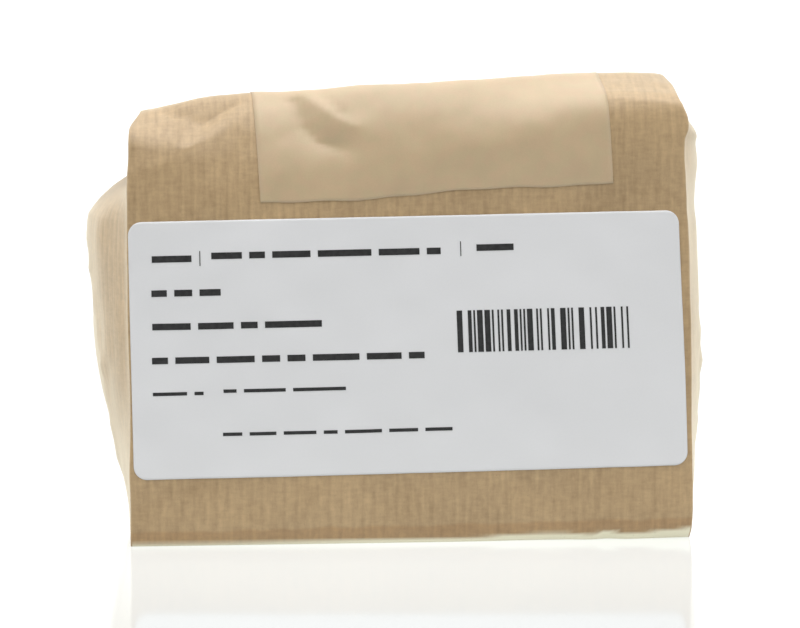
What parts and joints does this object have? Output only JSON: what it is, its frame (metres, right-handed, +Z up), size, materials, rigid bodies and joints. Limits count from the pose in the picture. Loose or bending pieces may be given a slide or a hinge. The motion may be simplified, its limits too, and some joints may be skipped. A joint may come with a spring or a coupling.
{
  "type": "filled kraft paper bag of cut dried root",
  "caption": "Block-bottom bag of ribbed brown kraft paper, filled with cut dried root, folded shut over the top, closed with paper tape and carrying a white front label.",
  "frame": {"origin": "centre of the flat base, on the surface that the bag stands on", "axes": "+Z up, +X to the right along the label, +Y from the labelled front to the back"},
  "size_m": [0.1132, 0.0636, 0.0833],
  "materials": {
    "kraft_paper": "ribbed unbleached kraft paper, matt with a faint sheen on the ribs",
    "label_paper": "smooth white label paper, semi-matt",
    "paper_tape": "smooth light brown paper tape, slightly glossy",
    "dried_root": "rough fibrous dried root, matt"
  },
  "bodies": {
    "root": {"paper_bag": "kraft_paper", "label": "label_paper", "closure_tape": "paper_tape", "cut_root_fill": "dried_root"}
  },
  "joints": []
}
